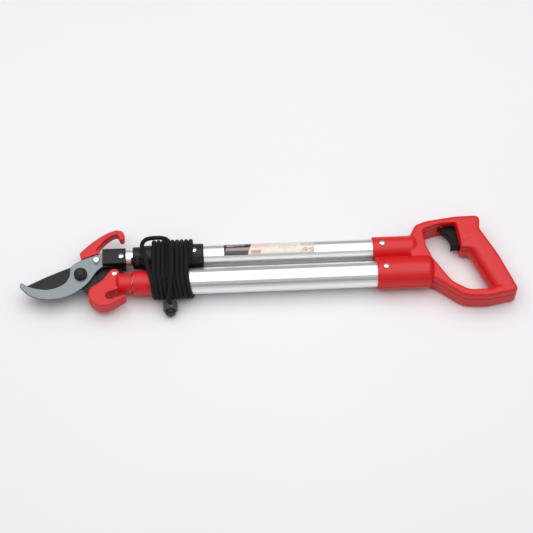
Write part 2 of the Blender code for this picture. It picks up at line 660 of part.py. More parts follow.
cut(trigger, rod((*TRIGGER_PIVOT, 0), (*TRIGGER_PIVOT, HANDLE_HEIGHT), TRIGGER_PIN_OD + 2 * GAP),
    rod((pivot_x + TRIGGER_TAIL, pivot_y - 8, TRIGGER_Z), (pivot_x + TRIGGER_TAIL, pivot_y + 5, TRIGGER_Z), 2))
piece("trigger_pin", rod((*TRIGGER_PIVOT, 4), (*TRIGGER_PIVOT, HANDLE_HEIGHT - 4), TRIGGER_PIN_OD),
      BRIGHT_STEEL, handle_frame)


def coil(start, end, y, z, diameter, wire, turns, per_turn=10):
    """Centre line of a coil spring along X."""
    count, radius = turns * per_turn, (diameter - wire) / 2
    line = []
    for step in range(count + 1):
        angle = 2 * math.pi * step / per_turn
        x = start + wire / 2 + (end - start - wire) * step / count
        line.append(Vector((x, y + radius * math.cos(angle), z + radius * math.sin(angle))))
    return line


piece("trigger_spring", swept(coil(SPRING_START, SPRING_END, SPRING_Y, TRIGGER_Z, SPRING_OD, SPRING_WIRE,
                                   SPRING_TURNS), SPRING_WIRE, (1, 0, 0), 5), BRIGHT_STEEL, handle_frame)

# ---- release cable ----------------------------------------------------------------------
piece("release_cable", swept(smooth(CABLE_ROUTE, 2), CABLE_OD, sides=8), BLACK_PLASTIC, handle_frame)

# ---- inner tubes and their tail bushes --------------------------------------------------
rear_inner_start = BLOCK_END + GAP
front_inner_start = FRONT_COLLAR_START - GAP - NECK_SEAT
piece("rear_inner_tube", pipe(rear_inner_start, REAR_TAIL - GAP, INNER_OD, INNER_ID, REAR_Y),
      ALUMINIUM, head_carriage)
piece("front_inner_tube", pipe(front_inner_start, FRONT_TAIL - GAP, INNER_OD, INNER_ID, FRONT_Y),
      ALUMINIUM, head_carriage)


def tail_bush(name, start, outer_id, y):
    """Flanged plastic bush in the tail of an inner tube, which guides it in its outer tube."""
    flange, spigot = outer_id / 2 - TAIL_FIT, INNER_ID / 2 - GAP
    return piece(name, turned([(-TAIL_SPIGOT, spigot - 2), (-TAIL_SPIGOT, spigot), (0, spigot), (0, flange),
                               (TAIL_FLANGE, flange), (TAIL_FLANGE, spigot - 2)],
                              (start, y, POLE_Z), ring=True), BLACK_PLASTIC, head_carriage)


tail_bush("rear_tail_bush", REAR_TAIL, REAR_OUTER_ID, REAR_Y)
front_bush = tail_bush("front_tail_bush", FRONT_TAIL, FRONT_OUTER_ID, FRONT_Y)
cut(front_bush, about_front_pole(box((FRONT_TAIL - 1, FRONT_Y - 2, 0),
                                     (FRONT_TAIL + TAIL_FLANGE + 1, FRONT_Y + 2, POLE_Z - INNER_OD / 2 - GAP))))

# ---- head block: spigot in the rear inner tube, two slots for the plates ----------------
block_low, block_high = BLOCK_Y - BLOCK_WIDTH / 2, BLOCK_Y + BLOCK_WIDTH / 2


def side_profile(y_low, y_high, z_low, z_high, radius):
    """Outline of the block seen along the poles, as (y, z) with rounded corners."""
    return rounded([(y_low, z_low, radius), (y_high, z_low, radius), (y_high, z_high, radius * 1.6),
                    (y_low, z_high, radius)])


def along_poles(outline, start, end):
    """Solid with a (y, z) outline, run along the poles."""
    solid = loft([(start, outline), (end, outline)])
    for vertex in solid.verts:
        vertex.co = (vertex.co.z, vertex.co.x, vertex.co.y)
    bmesh.ops.recalc_face_normals(solid, faces=solid.faces)
    return solid


block = piece("head_block", along_poles(
    side_profile(block_low, block_high, BLOCK_BOTTOM, BLOCK_TOP, 2.0), BLOCK_START, BLOCK_END),
    BLACK_PLASTIC, head_carriage)
BLOCK_RIVET = (-176.5, 16.0)
BLOCK_RIVET_LENGTH = 17.0
TANG_LOW_Y, TANG_HIGH_Y, TANG_END = 8.5, 24.5, -175.0
add(block, pole_rod(BLOCK_END - 1, BLOCK_END + BLOCK_SPIGOT, INNER_ID - 2 * GAP, REAR_Y))
cut(block,
    box((BLOCK_START - 5, TANG_LOW_Y - 8, PLATE_Z - GAP),
        (TANG_END + GAP, TANG_HIGH_Y + GAP, PLATE_Z + PLATE + GAP)),
    box((BLOCK_START - 5, TANG_LOW_Y - 8, BRACE_Z - GAP),
        (TANG_END + GAP, 13, BRACE_Z + PLATE + GAP)),
    rivet_hole(*BLOCK_RIVET, BLOCK_TOP, BLOCK_RIVET_LENGTH))
rivet("block_rivet", *BLOCK_RIVET, BLOCK_TOP, BLOCK_RIVET_LENGTH, head_carriage)

# ---- hook plate: the fixed lower jaw, its tang held in the block ------------------------
jaw_outside = smooth([(-298.6, -14.5), (-297.6, -19.5), (-284, -32), (-262, -37), (-239, -32.4),
                      (-219, -18.5), (-206.8, -1.2), (-199.8, 5.5)], 4)
jaw_inside = smooth([(-199.8, 24.6), (-212, 20.8), (-226, 15.6), (-237.6, 7), (-239.4, -6), (-247, -17),
                     (-265, -23), (-285, -19.4), (-296.6, -12.6)], 4)
tang = [Vector(p) for p in ((TANG_END, TANG_LOW_Y), (TANG_END, TANG_HIGH_Y))]
hook_plate = piece("hook_plate", slab(jaw_outside + tang + jaw_inside, PLATE_Z, PLATE_Z + PLATE, 0.5, 1),
                   SATIN_STEEL, head_carriage)
BRANCH_SCREW_OD = 4.0
cut(hook_plate, slab(circle(PIVOT, BOLT_HOLE, ROUND), 0, 60),
    slab(circle(BRANCH_SCREW, BRANCH_SCREW_OD + 2 * GAP), 0, 60),
    slab(circle(BLOCK_RIVET, RIVET_SHANK_OD + 2 * GAP), 0, 60))

# ---- brace plate: lower cheek of the pivot, riveted to the front head -------------------
brace_outline = rounded([(-236, -8, 6), (-231, 7, 9), (-214, 7, 10), (-200, 9.5, 3), (TANG_END, 12, 2),
                         (TANG_END, 3, 2), (-176, -13.5, 6), (-206, -14.5, 8), (-228, -16.5, 8)])
brace = piece("brace_plate", slab(brace_outline, BRACE_Z, BRACE_Z + PLATE, 0.4, 1), SATIN_STEEL, head_carriage)
cut(brace, slab(circle(PIVOT, BOLT_HOLE, ROUND), 0, 60), slab(circle(EAR, RIVET_SHANK_OD + 2 * GAP), 0, 60))

# ---- blade: swings on the pivot bolt, its tang reaches under the front head -------------
edge_side = smooth([(-292.6, -16.2), (-280, -23.5), (-262, -28), (-247, -26), (-236, -18)], 4)
tang_side = smooth([(-227, -17), (-222, -24), (-214.5, -31.5)], 3)
tang_tip = smooth([(-206, -32.5), (-199.8, -27.5), (-202.5, -20)], 3)
spine_side = smooth([(-205.5, -12), (-208.5, -1), (-216, 6.2), (-227, 9.8), (-238, 8.4), (-266, -3)], 3)
blade = piece("cutting_blade", slab(edge_side + tang_side + tang_tip + spine_side, BLADE_Z, BLADE_Z + PLATE,
                                    0.4, 1), DARK_STEEL, blade_body, (*PIVOT, BLADE_Z))
CORD_HOLE = (-206.8, -25.5)
cut(blade, slab(circle(PIVOT, BOLT_HOLE, ROUND), 0, 60), slab(circle(CORD_HOLE, 6.0), 0, 60))

# ---- pivot bolt with its wide cap, and the nut under the brace --------------------------
cap_seat = PLATE_Z + PLATE + GAP
nut_top = BRACE_Z - GAP
NUT_HEIGHT = 5.0
NUT_ACROSS = 13.0
cap, shank = BOLT_CAP_OD / 2, BOLT_OD / 2
bolt_low = nut_top - NUT_HEIGHT - 1.0 - cap_seat
piece("pivot_bolt", turned([(bolt_low, 0), (bolt_low, shank), (0, shank), (0, cap), (BOLT_CAP - 2.2, cap),
                            (BOLT_CAP - 1.2, cap - 0.7), (BOLT_CAP - 1.2, cap - 2.2), (BOLT_CAP, cap - 3.4),
                            (BOLT_CAP, 0)], (*PIVOT, cap_seat), (0, 0, 1)), BLACK_PLASTIC, head_carriage)
nut = piece("pivot_nut", slab(circle(PIVOT, NUT_ACROSS / math.cos(math.pi / 6), 6), nut_top - NUT_HEIGHT,
                              nut_top),
            BRIGHT_STEEL, head_carriage)
cut(nut, slab(circle(PIVOT, BOLT_HOLE, ROUND), 0, 60))

# ---- branch hook: screwed under the hook plate, it hangs the tool on a branch -----------
HOOK_TOP = PLATE_Z + PLATE + 1.2
HOOK_BOTTOM = HOOK_TOP - 12.0
hook_back = smooth([(-227, 25.4), (-218.6, 34), (-209.3, 42), (-200, 48.6), (-190.6, 53.8), (-182, 56.7)], 3)
hook_front = smooth([(-175, 55), (-171.9, 48.5), (-173.6, 42.4), (-177.6, 43), (-180.4, 48.6), (-184, 50),
                     (-193, 44.2), (-200, 37), (-203.9, 30.5), (-203.6, 24)], 3)
hook_root = [Vector(p) for p in ((-200.4, 20.5), (-200.8, 11.5), (-202.5, 10), (-212, 10.4),
                                 (-217.5, 15.2), (-224.4, 16.2))]
branch_hook = piece("branch_hook", slab(hook_back + hook_front + hook_root, HOOK_BOTTOM, HOOK_TOP, 1.0, 2),
                    RED_PLASTIC, head_carriage)
cut(branch_hook,
    slab([Vector(p) for p in ((-234, -5), (-190, -5), (-190, 28.7), (-200, 25.1), (-212, 21.4), (-234, 13.2))],
         PLATE_Z - GAP, 60),
    slab(grown(brace_outline, GAP), BRACE_Z - 10, BRACE_Z + PLATE + GAP),
    slab(circle(BRANCH_SCREW, BRANCH_SCREW_OD + 2 * GAP), 0, 60),
    slab(smooth([(-188, 48.5), (-196.5, 42.4), (-203.5, 34), (-207.5, 29)], 3)
         + smooth([(-203.5, 27), (-200.5, 34.5), (-193.5, 42), (-186, 47)], 3), HOOK_TOP - 3.0, HOOK_TOP + 1))
SCREW_HEAD_HIGH = 3.2
screw_low = PLATE_Z - GAP - 4.6 - cap_seat
branch_screw = piece("branch_hook_screw", turned(
    [(screw_low, 0), (screw_low, BRANCH_SCREW_OD / 2), (0, BRANCH_SCREW_OD / 2), (0, 4.2),
     (SCREW_HEAD_HIGH - 0.8, 4.2), (SCREW_HEAD_HIGH, 3.2), (SCREW_HEAD_HIGH, 0)],
    (*BRANCH_SCREW, cap_seat), (0, 0, 1)), BRIGHT_STEEL, head_carriage)
cut(branch_screw, slab(circle(BRANCH_SCREW, 3.4, 6), cap_seat + 1.4, 60))

# ---- front head: neck on the front inner tube, ear on the brace, backward hook ----------
neck_start = -182.0
neck_end = FRONT_COLLAR_START - GAP
head_back = smooth([(-206, -19), (-213.2, -23.8), (-216.6, -32), (-213.8, -41), (-205, -48.4), (-195.5, -49.8),
                    (-186, -46.4), (-177, -40.8), (-172.6, -38.4)], 3)
hook_slot = smooth([(-171.0, -36.4), (-173.2, -34.9), (-179, -36.2), (-186, -38.9), (-191.5, -39.9),
                    (-195.4, -36.6), (-193.6, -31.8), (-188, -29.6)], 3)
head_front = [Vector(p) for p in ((-180, -27), (-176, -24), (-176, -9))]
ear_arc = [Vector(EAR) + Vector((math.cos(a), math.sin(a))) * 6.8
           for a in (math.radians(-20 + 22 * step) for step in range(9))]
front_head = piece("front_head", slab(head_back + hook_slot + head_front + ear_arc + [Vector((-199.5, -14))],
                                      HEAD_BOTTOM, HEAD_TOP, HEAD_EDGE, 2), RED_PLASTIC, head_carriage)
add(front_head, turned([(0, 0), (0, NECK_OD / 2 - 3), (3, NECK_OD / 2), (neck_end - neck_start, NECK_OD / 2),
                        (neck_end - neck_start, 0)], (neck_start, FRONT_Y, POLE_Z)))
KERF_LOW = BRACE_Z - GAP
KERF_HIGH = PLATE_Z + GAP
cut(front_head,
    slab(grown(brace_outline, GAP + 0.2), KERF_LOW, BRACE_Z + PLATE + GAP),
    slab([Vector(p) for p in ((-240, 10), (-240, -60), (-222, -46), (-203, -38), (-194.2, -30.5), (-197, -16),
                              (-198, 10))], BLADE_Z - GAP - 0.1, KERF_HIGH),
    box((-215, -1.6, -5), (-170, 20, KERF_LOW + 0.1)),
    pole_rod(front_inner_start - GAP, neck_end + 5, INNER_OD + 2 * GAP, FRONT_Y),
    rivet_hole(*EAR, HEAD_TOP, HEAD_TOP - BRACE_Z + 2.5))
rivet("ear_rivet", *EAR, HEAD_TOP, HEAD_TOP - BRACE_Z + 2.5, head_carriage)

# ---- cord: winding round both collars, its free end, and the toggle ---------------------
WINDING_INNER = max(REAR_COLLAR_OD, FRONT_COLLAR_OD) / 2 + GAP


def stadium(radius):
    """Outline round both pole axes, as (y, z)."""
    outline = []
    for centre, start in ((REAR_Y, -90), (FRONT_Y, 90)):
        for step in range(ROUND // 2 + 1):
            angle = math.radians(start + 180 * step / (ROUND // 2))
            outline.append(Vector((centre + radius * math.cos(angle), POLE_Z + radius * math.sin(angle))))
    return outline


winding = piece("cord_winding", along_poles(stadium(WINDING_INNER + CORD_OD), WINDING_START, WINDING_END),
                CORD_FABRIC, handle_frame)
cut(winding, along_poles(stadium(WINDING_INNER), WINDING_START - 5, WINDING_END + 5))

toggle_z = TOGGLE_OD / 2 + GAP
toggle_end = TOGGLE_FRONT - TOGGLE_BODY
hole_y = TOGGLE_FRONT - 5.5
toggle = piece("cord_toggle_body", turned(
    [(0, 0), (0, TOGGLE_OD / 2 - 1.2), (1.2, TOGGLE_OD / 2), (TOGGLE_BODY - 1.2, TOGGLE_OD / 2),
     (TOGGLE_BODY, TOGGLE_OD / 2 - 1.2), (TOGGLE_BODY, 0)], (TOGGLE_X, TOGGLE_FRONT, toggle_z), (0, -1, 0)),
    GREY_PLASTIC, handle_frame)
cut(toggle, rod((TOGGLE_X, hole_y, 4), (TOGGLE_X, hole_y, 30), CORD_OD + 2 * GAP),
    rod((TOGGLE_X, toggle_end + TOGGLE_STROKE + 2 * GAP, toggle_z), (TOGGLE_X, toggle_end - 5, toggle_z),
        TOGGLE_BUTTON_OD + 2 * GAP))
button_start = toggle_end + GAP
piece("cord_toggle_button", turned(
    [(0, 0), (0, TOGGLE_BUTTON_OD / 2), (TOGGLE_BUTTON - 1.5, TOGGLE_BUTTON_OD / 2),
     (TOGGLE_BUTTON, TOGGLE_BUTTON_OD / 2 - 1.5), (TOGGLE_BUTTON, 0)],
    (TOGGLE_X, button_start, toggle_z), (0, -1, 0)), BLACK_PLASTIC, button_body,
    (TOGGLE_X, TOGGLE_FRONT, TOGGLE_OD / 2))

def cord_curve(name, route, diameter, finish, body):
    """Cord or cable as a bevelled curve with filled caps along a smooth route."""
    line = bpy.data.curves.new(name, 'CURVE')
    line.dimensions = '3D'
    line.bevel_depth = diameter / 2 * MM
    line.bevel_resolution = 2
    line.use_fill_caps = True
    points = smooth(route, 3)
    spline = line.splines.new('POLY')
    spline.points.add(len(points) - 1)
    for point, target in zip(points, spline.points):
        target.co = (*(point * MM), 1)
    line.materials.append(material(name, finish))
    thing = bpy.data.objects.new(name, line)
    bpy.context.scene.collection.objects.link(thing)
    thing.parent = body
    return thing


TAIL_ROUTE = [(-120.6, -41.0, 24.5), (-119.6, -42.6, 21.5), (-118.8, -43.5, 18.5), (-118.5, -43.7, 15.5),
              (-118.5, -43.7, 12), (-118.5, -43.7, 8), (-118.5, -43.7, 5)]
cord_curve("cord_tail", TAIL_ROUTE, CORD_OD, CORD_FABRIC, handle_frame)

# ---- origin: middle of the tool's footprint, the cord and its toggle left out -----------
CORD_PIECES = ("cord_winding", "cord_tail", "cord_toggle_body", "cord_toggle_button")
bpy.context.view_layer.update()
evaluated = bpy.context.evaluated_depsgraph_get()
corners = []
for thing in bpy.context.scene.objects:
    if thing.type == 'MESH' and not thing.hide_render and thing.name not in CORD_PIECES:
        solid = thing.evaluated_get(evaluated)
        corners += [thing.matrix_world @ Vector(corner) for corner in solid.bound_box]
middle = [(min(c[axis] for c in corners) + max(c[axis] for c in corners)) / 2 for axis in (0, 1)]
lopper.location = (-middle[0], -middle[1], -min(c.z for c in corners))
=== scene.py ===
import math
import bmesh
import bpy
from mathutils import Matrix, Vector


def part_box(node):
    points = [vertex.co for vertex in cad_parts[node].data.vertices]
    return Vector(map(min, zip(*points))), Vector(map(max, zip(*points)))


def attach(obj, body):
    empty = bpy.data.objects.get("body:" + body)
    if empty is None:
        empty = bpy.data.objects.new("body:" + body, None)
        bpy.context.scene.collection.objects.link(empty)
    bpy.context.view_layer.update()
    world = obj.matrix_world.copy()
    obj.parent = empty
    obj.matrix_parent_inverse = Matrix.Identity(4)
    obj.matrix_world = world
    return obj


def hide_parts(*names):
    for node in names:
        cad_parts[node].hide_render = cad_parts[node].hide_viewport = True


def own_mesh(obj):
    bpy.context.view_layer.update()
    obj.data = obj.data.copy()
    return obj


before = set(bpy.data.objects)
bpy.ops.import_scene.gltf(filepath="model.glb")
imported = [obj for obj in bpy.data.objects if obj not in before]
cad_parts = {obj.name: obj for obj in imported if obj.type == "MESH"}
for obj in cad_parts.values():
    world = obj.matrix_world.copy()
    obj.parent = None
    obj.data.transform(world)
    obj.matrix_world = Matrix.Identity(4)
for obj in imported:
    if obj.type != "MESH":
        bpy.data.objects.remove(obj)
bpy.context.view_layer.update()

# ==== camera ===============================================================================
# Long lens from above and a little left of square, so that both poles show their near sides.
# The tool is aimed at 20 mm above the middle of its footprint.
AZIMUTH = math.radians(-4)
ELEVATION = math.radians(60)
ROLL = math.radians(1.25)
DISTANCE = 1.951
FOCAL_LENGTH = 108.07
AIM = Vector((-0.0012, 0.0010, 0.020))

back = Vector((math.sin(AZIMUTH) * math.cos(ELEVATION), -math.cos(AZIMUTH) * math.cos(ELEVATION),
               math.sin(ELEVATION)))
right = Vector((math.cos(AZIMUTH), math.sin(AZIMUTH), 0))
up = back.cross(right)
turned_right = math.cos(ROLL) * right + math.sin(ROLL) * up
turned_up = math.cos(ROLL) * up - math.sin(ROLL) * right
lens = bpy.data.cameras.new("camera")
lens.lens = FOCAL_LENGTH
lens.sensor_width = 36
lens.clip_start = 0.05
lens.clip_end = 30


def placed(name, data):
    """New object that holds the data, linked to the scene."""
    made = bpy.data.objects.new(name, data)
    bpy.context.scene.collection.objects.link(made)
    return made


camera = placed("camera", lens)
camera.matrix_world = Matrix.Translation(AIM + DISTANCE * back) @ Matrix(
    (turned_right, turned_up, back)).transposed().to_4x4()
bpy.context.scene.camera = camera

# ==== cord =================================================================================
# 5.3 mm polyester accessory cord over a twisted core. It leaves the eye on the rear collar
# behind a stopper knot, runs back in the valley between the poles, winds forward in eight
# turns round both collars, doubles back over them and ends in the cord lock.
CORD = 0.0053
TURNS = 8
PITCH = 0.0056
LEAN = 0.008              # how far a turn travels along the poles on their near side
FIRST_BOTTOM = 0.0052     # from the winding's end to where the first turn passes under the front pole
TURN_STEP = 0.004         # between the points that make the turns
CURVE_STEP = 0.0018       # between the points of the finished curve
LAST_STEPS = 21           # the last stretch runs up the near side and over the front pole
LAST_LEAN = 0.085         # its slope along the poles
TOP_LEAN = 0.16           # and what is added to that from TOP_START on
TOP_START = 0.05
FLOOR_GAP = 0.00005
SIDES = 14
rear_low, rear_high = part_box("rear_outer_tube")
front_low, front_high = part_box("front_outer_tube")
winding_low, winding_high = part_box("cord_winding")
rear_axis = (rear_low.y + rear_high.y) / 2
front_axis = (front_low.y + front_high.y) / 2
axis_height = (front_low.z + front_high.z) / 2
wind_radius = (front_high.y - front_low.y) / 2 + CORD / 2
half_round = math.pi * wind_radius
across = rear_axis - front_axis
loop = 2 * (half_round + across)
first_bottom = winding_high.x + FIRST_BOTTOM


def smooth(route, step):
    """Catmull-Rom curve through a route, as points about a step apart."""
    ends = [2 * route[0] - route[1]] + route + [2 * route[-1] - route[-2]]
    line = []
    for p0, p1, p2, p3 in zip(ends, ends[1:], ends[2:], ends[3:]):
        count = max(1, round((p2 - p1).length / step))
        for part in range(count):
            t = part / count
            line.append(0.5 * (2 * p1 + (p2 - p0) * t + (2 * p0 - 5 * p1 + 4 * p2 - p3) * t ** 2
                               + (3 * p1 - p0 - 3 * p2 + p3) * t ** 3))
    return line + [route[-1]]


def round_poles(distance):
    """Point (y, z) on the loop round both poles, from under the front pole and up its near side."""
    distance %= loop
    if distance < half_round:
        angle = distance / wind_radius
        y = front_axis - wind_radius * math.sin(angle)
        z = axis_height - wind_radius * math.cos(angle)
    elif distance < half_round + across:
        y = front_axis + distance - half_round
        z = axis_height + wind_radius
    elif distance < 2 * half_round + across:
        angle = (distance - half_round - across) / wind_radius
        y = rear_axis + wind_radius * math.sin(angle)
        z = axis_height + wind_radius * math.cos(angle)
    else:
        y = rear_axis - (distance - 2 * half_round - across)
        z = axis_height - wind_radius
    return y, max(z, CORD / 2 + FLOOR_GAP)


def along(distance):
    """Place along the poles of a point of the winding, by its distance from the first bottom."""
    turn, part = divmod(distance, loop)
    near_side = min(part, half_round) / half_round * LEAN
    far_side = max(part - half_round, 0) / (loop - half_round) * (PITCH - LEAN)
    return first_bottom - turn * PITCH - near_side - far_side


from_eye = [Vector(p) for p in (
    (-0.1607, 0.0079, 0.0342), (-0.1562, 0.0075, 0.0339), (-0.1490, 0.0046, 0.0322),
    (-0.1410, 0.0018, 0.0310), (-0.1212, 0.0015, 0.0310), (-0.1092, 0.0015, 0.0312),
    (-0.1022, 0.0024, 0.0322), (-0.0965, 0.0056, 0.0343), (-0.0936, 0.0104, 0.0378))]
over_the_top = [Vector(p) for p in (
    (-0.1500, 0.0156, 0.0399), (-0.1514, 0.0216, 0.0405), (-0.1508, 0.0276, 0.0416),
    (-0.1467, 0.0318, 0.0428), (-0.1405, 0.0330, 0.0438), (-0.1335, 0.0328, 0.0446),
    (-0.1270, 0.0320, 0.0452), (-0.1212, 0.0292, 0.0456), (-0.1177, 0.0234, 0.0454),
    (-0.1168, 0.0144, 0.0451), (-0.1166, 0.0044, 0.0451), (-0.1167, -0.0056, 0.0451),
    (-0.1170, -0.0151, 0.0450), (-0.1176, -0.0225, 0.0441), (-0.1183, -0.0288, 0.0415),
    (-0.1192, -0.0341, 0.0371), (-0.1202, -0.0380, 0.0312))]
into_lock = [Vector(p) for p in (
    (-0.1218, -0.0400, 0.0245), (-0.1208, -0.0416, 0.0215), (-0.1200, -0.0425, 0.0185),
    (-0.1197, -0.0427, 0.0155), (-0.1197, -0.0427, 0.0120), (-0.1197, -0.0427, 0.0080),
    (-0.1197, -0.0427, 0.0050))]

start = half_round + across - loop
wound = []
for index in range(round((TURNS * loop - start) / TURN_STEP) + 1):
    distance = start + TURN_STEP * index
    y, z = round_poles(distance)
    wound.append(Vector((along(distance), y, z)))
last_bottom = along(TURNS * loop)
for index in range(1, LAST_STEPS + 1):
    distance = TURN_STEP * index
    y, z = round_poles(distance)
    lean = LAST_LEAN * distance + TOP_LEAN * max(0, distance - TOP_START)
    wound.append(Vector((last_bottom - lean, y, z)))
cord_line = smooth(from_eye + wound + over_the_top + into_lock, CURVE_STEP)


def finished(name, mesh):
    """Object made from an edit mesh, which it frees."""
    mesh.normal_update()
    data = bpy.data.meshes.new(name)
    mesh.to_mesh(data)
    mesh.free()
    return placed(name, data)


def tube(name, line, radius, sides=SIDES):
    """Round tube along a line with closed ends; its UV runs in metres round and along it."""
    mesh = bmesh.new()
    wrap = mesh.loops.layers.uv.new("length")
    rings = []
    travelled = [0.0]
    normal = (line[1] - line[0]).orthogonal().normalized()
    for index, point in enumerate(line):
        ahead = (line[min(index + 1, len(line) - 1)] - line[max(index - 1, 0)]).normalized()
        normal = (normal - ahead * normal.dot(ahead)).normalized()
        side = ahead.cross(normal)
        turns = [2 * math.pi * step / sides for step in range(sides)]
        rings.append([mesh.verts.new(point + radius * (math.cos(angle) * normal + math.sin(angle) * side))
                      for angle in turns])
        if index:
            travelled.append(travelled[-1] + (point - line[index - 1]).length)
    for index in range(len(line) - 1):
        for step in range(sides):
            corners = [(index, step), (index, step + 1), (index + 1, step + 1), (index + 1, step)]
            face = mesh.faces.new([rings[ring][place % sides] for ring, place in corners])
            face.smooth = True
            for corner, (ring, place) in zip(face.loops, corners):
                corner[wrap].uv = (place / sides, travelled[ring])
    mesh.faces.new(rings[0][::-1])
    mesh.faces.new(rings[-1])
    return finished(name, mesh)


def linear(code):
    """Linear colour of an sRGB hex value."""
    levels = [int(code[place:place + 2], 16) / 255 for place in (1, 3, 5)]
    return tuple(c / 12.92 if c <= 0.04045 else ((c + 0.055) / 1.055) ** 2.4 for c in levels) + (1,)


def add(tree, kind, inputs=(), **settings):
    """Adds a node with its settings; an input is a value, or another node's output to link."""
    made = tree.nodes.new("ShaderNode" + kind)
    for setting, value in settings.items():
        setattr(made, setting, value)
    for socket, value in dict(inputs).items():
        if isinstance(value, bpy.types.NodeSocket):
            tree.links.new(value, made.inputs[socket])
        else:
            made.inputs[socket].default_value = value
    return made


def new_material(name):
    """Empty node material and its tree, ready for a Principled shader."""
    made = bpy.data.materials.new(name)
    made.use_nodes = True
    made.node_tree.nodes.clear()
    return made, made.node_tree


def surface(tree, **inputs):
    """Principled shader on the material's output; underscores in the names stand for spaces."""
    shader = add(tree, "BsdfPrincipled", {k.replace("_", " "): v for k, v in inputs.items()})
    add(tree, "OutputMaterial", {"Surface": shader.outputs[0]})
    return shader


def braided_polyester():
    """Tight 16-strand sheath: strands in both hands with a pitch of 8 mm, drawn twice as coarse
    as the real ones so that they show, and a soft fuzz that greys the rim."""
    made, tree = new_material("braided_black_polyester")
    place = add(tree, "UVMap", uv_map="length")
    parts = add(tree, "SeparateXYZ", {"Vector": place.outputs[0]})
    strands = []
    for hand in (1, -1):
        slope = add(tree, "Math", {0: parts.outputs[1], 1: hand / 0.008}, operation="MULTIPLY")
        phase = add(tree, "Math", {0: parts.outputs[0], 1: slope.outputs[0]}, operation="ADD")
        turns = add(tree, "Math", {0: phase.outputs[0], 1: 8 * 2 * math.pi}, operation="MULTIPLY")
        strands.append(add(tree, "Math", {0: turns.outputs[0]}, operation="SINE"))
    woven = add(tree, "Math", {0: strands[0].outputs[0], 1: strands[1].outputs[0]}, operation="MULTIPLY")
    fuzz = add(tree, "TexNoise", {"Vector": add(tree, "TexCoord").outputs["Object"], "Scale": 1 / 0.0009,
                                  "Detail": 3.0})
    height = add(tree, "Math", {0: woven.outputs[0], 1: fuzz.outputs[0]}, operation="ADD")
    bump = add(tree, "Bump", {"Height": height.outputs[0], "Strength": 0.55, "Distance": 0.0003})
    colour = add(tree, "Mix", {0: fuzz.outputs[0], 6: linear("#060607"), 7: linear("#19191a")},
                 data_type="RGBA")
    surface(tree, Base_Color=colour.outputs[2], Roughness=0.75, Specular_IOR_Level=0.3,
            Normal=bump.outputs[0], Sheen_Weight=0.05, Sheen_Roughness=0.5, Sheen_Tint=linear("#8a8a8c"))
    return made


braid = braided_polyester()
cord = tube("cord", cord_line, CORD / 2)
cord.data.materials.append(braid)
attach(cord, "handle_frame")
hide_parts("cord_winding", "cord_tail")

KNOT = 0.0022             # size of the knot's loops
KNOT_STRAND = 0.0017      # radius of the cord in the knot, where it is pulled tight
KNOT_STEPS = 61
knot_middle = cord_line[0] + Vector((-0.0012, 0, 0))
knot_line = []
for step in range(KNOT_STEPS):
    angle = 2 * math.pi * step / KNOT_STEPS
    radius = KNOT * (1.25 + 0.55 * math.cos(3 * angle))
    knot_line.append(knot_middle + Vector((KNOT * 0.75 * math.sin(3 * angle), radius * math.cos(2 * angle),
                                           radius * math.sin(2 * angle))))
knot = tube("cord_stopper_knot", knot_line, KNOT_STRAND, 10)
knot.data.materials.append(braid)
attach(knot, "handle_frame")


def dress(material, *names):
    """Gives CAD nodes their finish."""
    for name in names:
        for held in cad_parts[name].material_slots:
            held.material = material


# ==== poles ================================================================================
# Drawn aluminium tube, satin anodised in its natural colour. Drawing leaves fine lines along
# the tube, and the anodised skin softens its reflections into clear bands.


def anodised_aluminium():
    """Drawn lines 0.25 mm apart and about 60 mm long, drawn coarser than the real ones."""
    made, tree = new_material("satin_anodised_aluminium")
    place = add(tree, "TexCoord")
    lengths = add(tree, "Mapping", {"Vector": place.outputs["Object"],
                                    "Scale": (1 / 0.06, 1 / 0.00025, 1 / 0.00025)})
    lines = add(tree, "TexNoise", {"Vector": lengths.outputs[0], "Scale": 1.0, "Detail": 2.0})
    cloud = add(tree, "TexNoise", {"Vector": place.outputs["Object"], "Scale": 1 / 0.03, "Detail": 3.0})
    rough = add(tree, "MapRange", {"Value": cloud.outputs[0], "To Min": 0.34, "To Max": 0.38})
    tint = add(tree, "Mix", {0: lines.outputs[0], 6: linear("#eeeff0"), 7: linear("#f5f5f6")},
               data_type="RGBA")
    bump = add(tree, "Bump", {"Height": lines.outputs[0], "Strength": 0.02, "Distance": 0.000005})
    surface(tree, Base_Color=tint.outputs[2], Metallic=1.0, Roughness=rough.outputs[0],
            Normal=bump.outputs[0])
    return made


dress(anodised_aluminium(), "rear_outer_tube", "front_outer_tube", "rear_inner_tube", "front_inner_tube")

# ==== handle and front head ================================================================
# Glass-filled polypropylene, injection moulded in two halves for the handle and in one for the
# head. A spark-eroded mould leaves a fine grain that breaks its highlights up softly.


def moulded_plastic(name, dark, light, grain, rough_low, rough_high, gloss=0.5):
    """Moulded skin: grain of the given size, slow changes of gloss, rounded edges."""
    made, tree = new_material(name)
    place = add(tree, "TexCoord")
    sparks = add(tree, "TexNoise", {"Vector": place.outputs["Object"], "Scale": 1 / grain, "Detail": 2.0})
    flow = add(tree, "TexNoise", {"Vector": place.outputs["Object"], "Scale": 1 / 0.035, "Detail": 3.0})
    tint = add(tree, "Mix", {0: flow.outputs[0], 6: linear(dark), 7: linear(light)}, data_type="RGBA")
    rough = add(tree, "MapRange", {"Value": flow.outputs[0], "From Min": 0.3, "From Max": 0.7,
                                   "To Min": rough_low, "To Max": rough_high})
    edge = add(tree, "Bevel", {"Radius": 0.0006}, samples=4)
    bump = add(tree, "Bump", {"Height": sparks.outputs[0], "Strength": 0.25, "Distance": 0.0001,
                              "Normal": edge.outputs[0]})
    surface(tree, Base_Color=tint.outputs[2], Roughness=rough.outputs[0], IOR=1.49,
            Specular_IOR_Level=gloss, Normal=bump.outputs[0])
    return made


